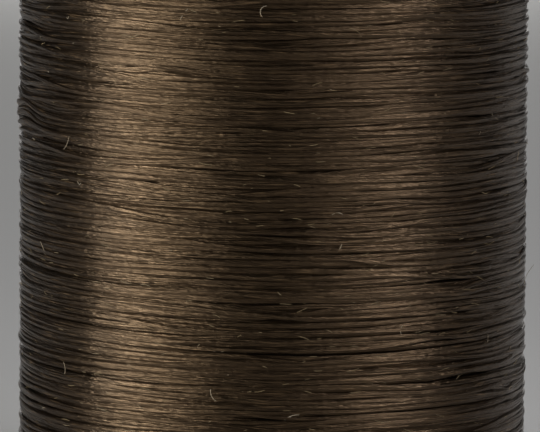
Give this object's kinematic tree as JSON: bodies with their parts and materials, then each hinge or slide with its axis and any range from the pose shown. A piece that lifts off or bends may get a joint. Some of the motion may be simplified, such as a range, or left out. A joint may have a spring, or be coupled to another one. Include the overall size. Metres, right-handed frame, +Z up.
{
  "type": "thread spool",
  "caption": "Flanged spool wound level with waxed thread: moulded end flanges on a paperboard tube, bare labels, a thread nick in the rim and a through hole for a spindle.",
  "frame": {"origin": "centre of the bottom flange's outer face, on the spool's axis", "axes": "+Z up the spool's axis from the bottom flange to the top flange; -Y towards the viewer, +X to the viewer's right"},
  "size_m": [0.05, 0.05, 0.0568],
  "materials": {
    "moulded_plastic": "satin",
    "paperboard": "matte",
    "label_paper": "matte",
    "waxed_thread": "satin"
  },
  "bodies": {
    "root": {"bottom_flange": "moulded_plastic", "top_flange": "moulded_plastic", "core_tube": "paperboard", "bottom_label": "label_paper", "top_label": "label_paper", "thread_start": "waxed_thread", "thread_pack": "waxed_thread", "thread_outer_turns": "waxed_thread"}
  },
  "joints": []
}
